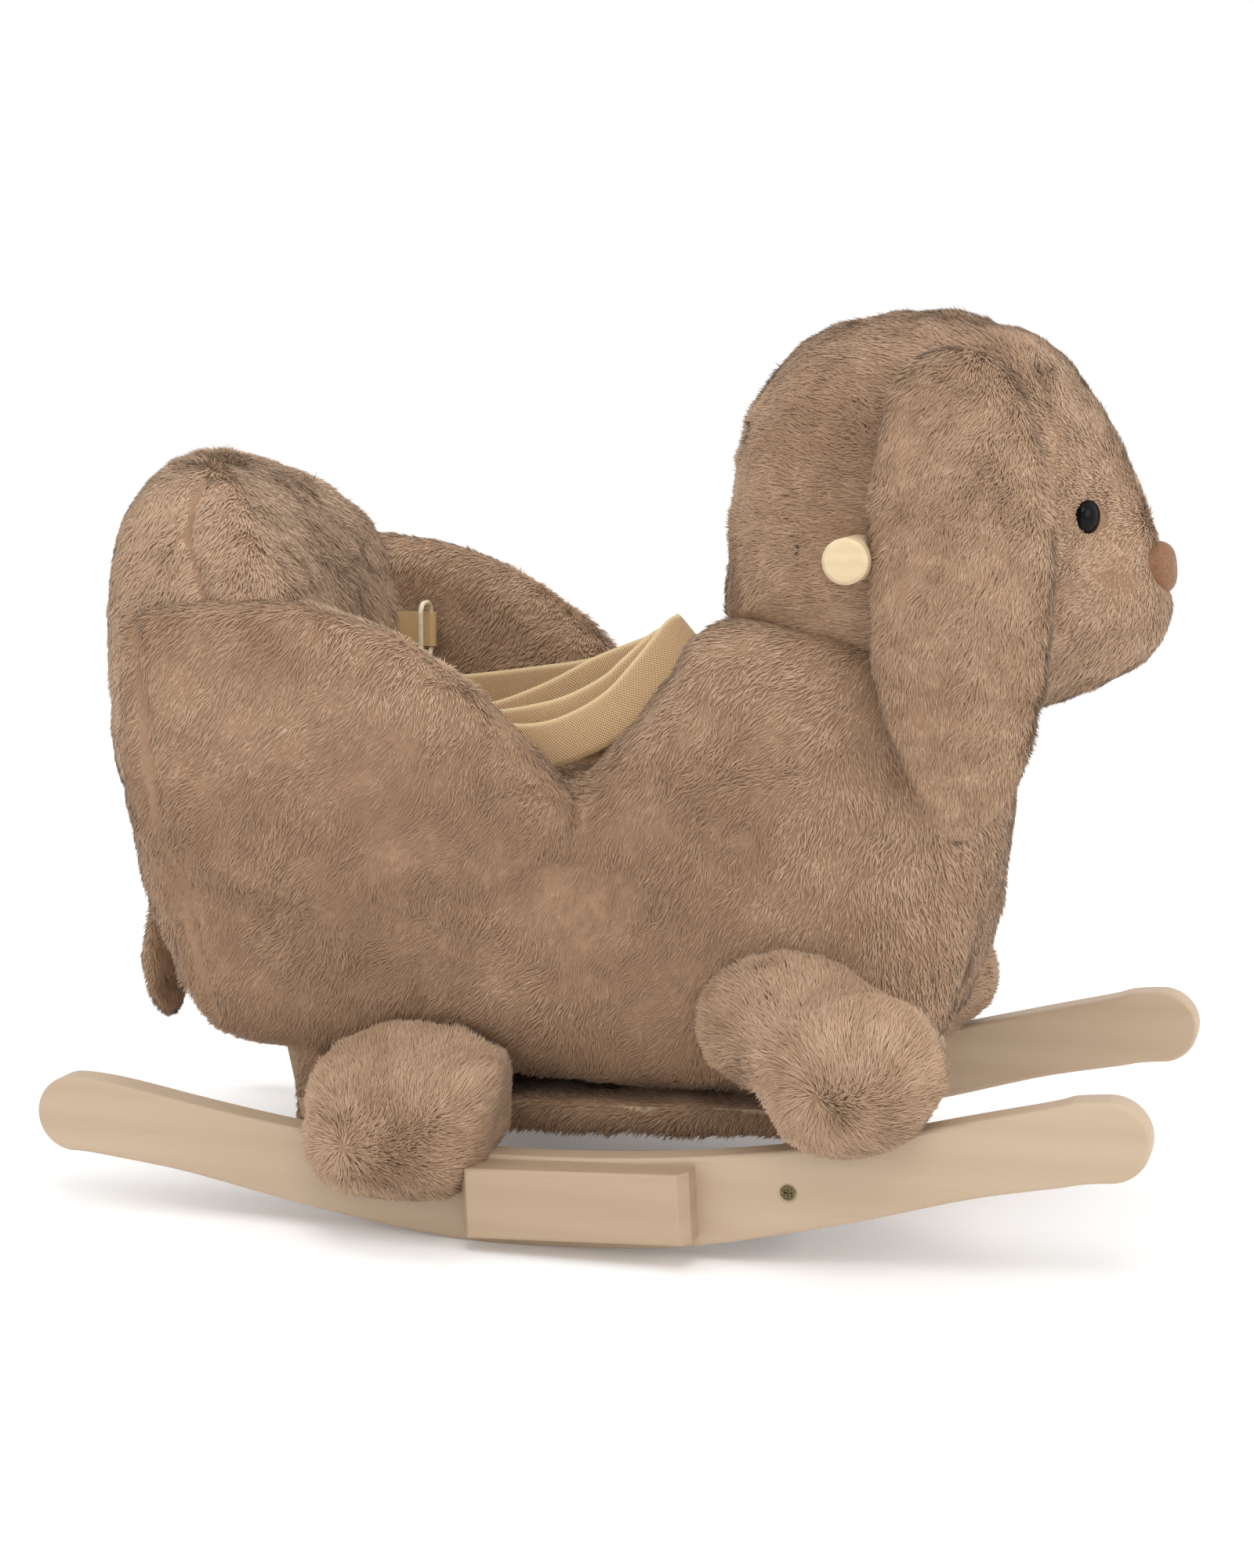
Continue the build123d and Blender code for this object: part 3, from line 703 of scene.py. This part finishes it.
def metal_material(name, colour, dark):
    mat, nodes, links, shader = new_material(name)
    place = coordinates(nodes, links)
    stain = noise_node(nodes, links, place, 700, 4)
    tint = ramp(nodes, [(0.35, dark), (0.65, colour)])
    links.new(stain, tint.inputs["Fac"])
    links.new(tint.outputs["Color"], shader.inputs["Base Color"])
    shader.inputs["Metallic"].default_value = 1
    span = nodes.new("ShaderNodeMapRange")
    span.inputs["To Min"].default_value = 0.25
    span.inputs["To Max"].default_value = 0.5
    links.new(stain, span.inputs["Value"])
    links.new(span.outputs["Result"], shader.inputs["Roughness"])
    bump(nodes, links, shader, noise_node(nodes, links, place, 2400, 2), 0.2, 0.0001)
    return mat


def plain_material(name, light, dark, size, rough, height=0.0003, **values):
    mat, nodes, links, shader = new_material(name)
    place = coordinates(nodes, links)
    fac = noise_node(nodes, links, place, size, 4)
    tint = ramp(nodes, [(0.35, dark), (0.65, light)])
    links.new(fac, tint.inputs["Fac"])
    links.new(tint.outputs["Color"], shader.inputs["Base Color"])
    shader.inputs["Roughness"].default_value = rough
    bump(nodes, links, shader, fac, 0.3, height)
    for key, value in values.items():
        shader.inputs[key.replace("_", " ")].default_value = value
    return mat


dress(metal_material("screw_brass", (0.22, 0.18, 0.09), (0.07, 0.055, 0.03)),
      "rail_screws", "foot_rest_screws", "handle_screw", "back_board_screws", "neck_board_screws")
dress(metal_material("zinc_steel", (0.6, 0.6, 0.62), (0.42, 0.42, 0.44)), "base_bolts", "base_t_nuts")
dress(plain_material("washer_plastic", (0.8, 0.8, 0.78), (0.7, 0.7, 0.68), 300, 0.5), "eye_washers")
dress(plain_material("foam", (0.75, 0.7, 0.55), (0.6, 0.55, 0.42), 500, 0.95, 0.001), "seat_foam", "backrest_foam")
dress(plain_material("ring_ivory", (0.74, 0.66, 0.48), (0.66, 0.57, 0.39), 240, 0.38), "belt_ring")
dress(plain_material("nose_leather", (0.27, 0.125, 0.055), (0.17, 0.078, 0.034), 900, 0.6, 0.0006), "nose")
dress(plain_material("eye_gloss", (0.006, 0.006, 0.007), (0.003, 0.003, 0.004), 120, 0.08, 0.00002,
                     Specular_IOR_Level=0.1), "eye_right", "eye_left")


# ---------------------------------------------------------------- webbing
def webbing_material(name, across):
    """Ribbed plain weave; U runs along the strap in metres and V across it."""
    mat, nodes, links, shader = new_material(name)
    source = nodes.new("ShaderNodeUVMap")
    source.uv_map = "weave"
    split = nodes.new("ShaderNodeSeparateXYZ")
    links.new(source.outputs["UV"], split.inputs["Vector"])
    pitch_u, pitch_v = 0.0016, 0.0019

    def cosine(output, pitch, offset=0.0):
        turn = nodes.new("ShaderNodeMath")
        turn.operation = "MULTIPLY_ADD"
        turn.inputs[1].default_value = 2 * math.pi / pitch
        turn.inputs[2].default_value = offset
        links.new(output, turn.inputs[0])
        wave = nodes.new("ShaderNodeMath")
        wave.operation = "COSINE"
        links.new(turn.outputs[0], wave.inputs[0])
        return wave.outputs[0]

    product = nodes.new("ShaderNodeMath")
    product.operation = "MULTIPLY"
    links.new(cosine(split.outputs["X"], pitch_u), product.inputs[0])
    links.new(cosine(split.outputs["Y"], pitch_v), product.inputs[1])
    height = nodes.new("ShaderNodeMapRange")
    height.inputs["From Min"].default_value = -1
    links.new(product.outputs[0], height.inputs["Value"])
    # Painted shade in the weave's dips and painted highlight on its ridges, driven by the weave's height.
    colour = ramp(nodes, [(0.15, (0.34, 0.195, 0.09)), (0.5, (0.62, 0.395, 0.20)), (0.85, (0.86, 0.63, 0.37))])
    links.new(height.outputs["Result"], colour.inputs["Fac"])
    edge = nodes.new("ShaderNodeMath")
    edge.operation = "ABSOLUTE"
    links.new(split.outputs["Y"], edge.inputs[0])
    rim = nodes.new("ShaderNodeMapRange")
    rim.inputs["From Min"].default_value = across / 2 - 0.0022
    rim.inputs["From Max"].default_value = across / 2 - 0.0008
    links.new(edge.outputs[0], rim.inputs["Value"])
    mix = nodes.new("ShaderNodeMix")
    mix.data_type = "RGBA"
    links.new(rim.outputs["Result"], mix.inputs[0])
    links.new(colour.outputs["Color"], mix.inputs[6])
    mix.inputs[7].default_value = (0.74, 0.56, 0.30, 1)
    links.new(mix.outputs[2], shader.inputs["Base Color"])
    rough = nodes.new("ShaderNodeMapRange")
    rough.inputs["To Min"].default_value = 0.7
    rough.inputs["To Max"].default_value = 0.36
    links.new(height.outputs["Result"], rough.inputs["Value"])
    links.new(rough.outputs["Result"], shader.inputs["Roughness"])
    bump(nodes, links, shader, height.outputs["Result"], 0.7, 0.0005)
    return mat


def strap(name, middle_line, across, width, thickness, material):
    """Flat webbing along a line of points, in mm. across gives each point's direction over the width."""
    line = np.array(middle_line, float)
    over = unit(np.array(across, float))
    run = np.gradient(line, axis=0)
    out = unit(np.cross(run, over))
    steps = np.linspace(-0.5, 0.5, 9)
    sides = []
    for sign in (1, -1):
        for s in steps[:: int(sign)]:
            thin = thickness / 2 * (1 - 0.5 * (abs(s) * 2) ** 8)
            sides.append(line + over * (s * width) + out * (sign * thin))
    grid = np.stack(sides, 1)
    count, around = grid.shape[:2]
    index = np.arange(count * around).reshape(count, around)
    nxt = np.roll(index, -1, 1)
    faces = np.stack([index[:-1], nxt[:-1], nxt[1:], index[1:]], -1).reshape(-1, 4)
    obj = mesh_object(name, grid.reshape(-1, 3), faces, [material])
    length = np.concatenate([[0], np.cumsum(np.linalg.norm(np.diff(line, axis=0), axis=1))]) * mm
    bm = bmesh.new()
    bm.from_mesh(obj.data)
    uv = bm.loops.layers.uv.new("weave")
    v_of = np.concatenate([steps, steps[::-1]]) * width * mm
    bm.verts.ensure_lookup_table()
    for face in bm.faces:
        for loop in face.loops:
            k = loop.vert.index
            loop[uv].uv = (length[k // around], v_of[k % around])
    for end in (0, count - 1):
        ring = [bm.verts[i] for i in index[end]]
        cap = bm.faces.new(ring if end == 0 else ring[::-1])
        for loop in cap.loops:
            loop[uv].uv = (length[end], v_of[loop.vert.index % around])
    bmesh.ops.recalc_face_normals(bm, faces=bm.faces)
    bm.to_mesh(obj.data)
    bm.free()
    return obj, float(length[-1])


def open_curve(points, steps=14):
    """Catmull-Rom curve through an open run of points."""
    p = np.array(points, float)
    p = np.vstack([2 * p[0] - p[1], p, 2 * p[-1] - p[-2]])
    rows = []
    for k in range(1, len(p) - 2):
        a, b, c, d = p[k - 1 : k + 3]
        for t in np.arange(steps) / steps:
            rows.append(0.5 * (2 * b + (c - a) * t + (2 * a - 5 * b + 4 * c - d) * t**2
                               + (3 * b - a - 3 * c + d) * t**3))
    rows.append(p[-2])
    return np.array(rows)


# Where the strap's middle runs, and how far its upper edge tips back there.
belt_route = open_curve([
    (-140, 46, 286, 0.12), (-122, 45, 288, 0.14), (-80, 42, 294, 0.18), (-37, 36, 302, 0.2),
    (3, 26, 318, 0.4), (22, 16, 331, 0.6), (31, 2, 335, 0.72), (27, -14, 331, 0.7), (15, -33, 312, 0.6),
    (-1, -48, 292, 0.45), (-22, -57, 279, 0.2), (-44, -63, 272, 0.05), (-70, -67, 272, 0.0),
    (-88, -64, 275, 0.0), (-94, -57, 277, 0.0), (-86, -51, 277, 0.0), (-67, -50, 278, 0.08),
    (-35, -44, 285, 0.18), (-11, -32, 297, 0.34), (2, -22, 309, 0.5), (14, -8, 322, 0.55),
    (18, 3, 325, 0.5), (9, 11, 320, 0.42), (-25, 2, 306, 0.28), (-53, -9, 291, 0.16),
    (-80, -22, 280, 0.1), (-104, -30, 275, 0.06),
])
belt_middle = belt_route[:, :3]
belt_over = np.stack([-np.sin(belt_route[:, 3]), 0 * belt_route[:, 3], np.cos(belt_route[:, 3])], 1)
webbing = webbing_material("webbing", 0.028)
belt, belt_length = strap("belt_webbing", belt_middle, belt_over, 28, 1.6, webbing)
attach(belt, "rocker")
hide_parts("safety_belt")
print("belt length", belt_length)
dress(plain_material("tab_webbing", (0.62, 0.42, 0.21), (0.50, 0.33, 0.15), 1400, 0.5, 0.0005), "ring_tab")


# ---------------------------------------------------------------- stage
def studio():
    bm = bmesh.new()
    bmesh.ops.create_grid(bm, x_segments=1, y_segments=1, size=8)
    mesh = bpy.data.meshes.new("floor")
    bm.to_mesh(mesh)
    bm.free()
    floor = bpy.data.objects.new("floor", mesh)
    scene.collection.objects.link(floor)
    mat, nodes, links, shader = new_material("floor_paper")
    shader.inputs["Base Color"].default_value = (0.93, 0.93, 0.93, 1)
    shader.inputs["Roughness"].default_value = 0.9
    shader.inputs["Emission Color"].default_value = (1, 1, 1, 1)
    shader.inputs["Emission Strength"].default_value = 0.12
    mesh.materials.append(mat)
    world = bpy.data.worlds.new("studio")
    scene.world = world
    world.use_nodes = True
    world.node_tree.nodes["Background"].inputs["Color"].default_value = (1, 1, 1, 1)
    world.node_tree.nodes["Background"].inputs["Strength"].default_value = 1.0
    for name, place, aim, size, power in (
        ("key", (0.5, -1.4, 2.1), (0, 0, 0.25), 1.2, 12),
        ("fill", (2.0, -0.8, 1.0), (0, 0, 0.3), 1.2, 9),
        ("top", (-0.4, 0.1, 2.2), (-0.1, 0, 0.3), 1.2, 9),
    ):
        data = bpy.data.lights.new(name, "AREA")
        data.shape, data.size, data.energy = "DISK", size, power
        lamp = bpy.data.objects.new(name, data)
        lamp.location = place
        lamp.rotation_euler = (Vector(aim) - Vector(place)).to_track_quat("-Z", "Y").to_euler()
        scene.collection.objects.link(lamp)
    data = bpy.data.cameras.new("camera")
    camera = bpy.data.objects.new("camera", data)
    data.lens, data.sensor_width, data.sensor_fit = 63.0, 36.0, "AUTO"
    camera.location = ((454.49 + shift) * mm, -1.56373, 0.47222)
    target = Vector(((-9 + shift) * mm, 0, 0.243))
    camera.rotation_euler = (target - camera.location).to_track_quat("-Z", "Y").to_euler()
    scene.collection.objects.link(camera)
    scene.camera = camera
    scene.view_settings.view_transform = "Standard"


studio()
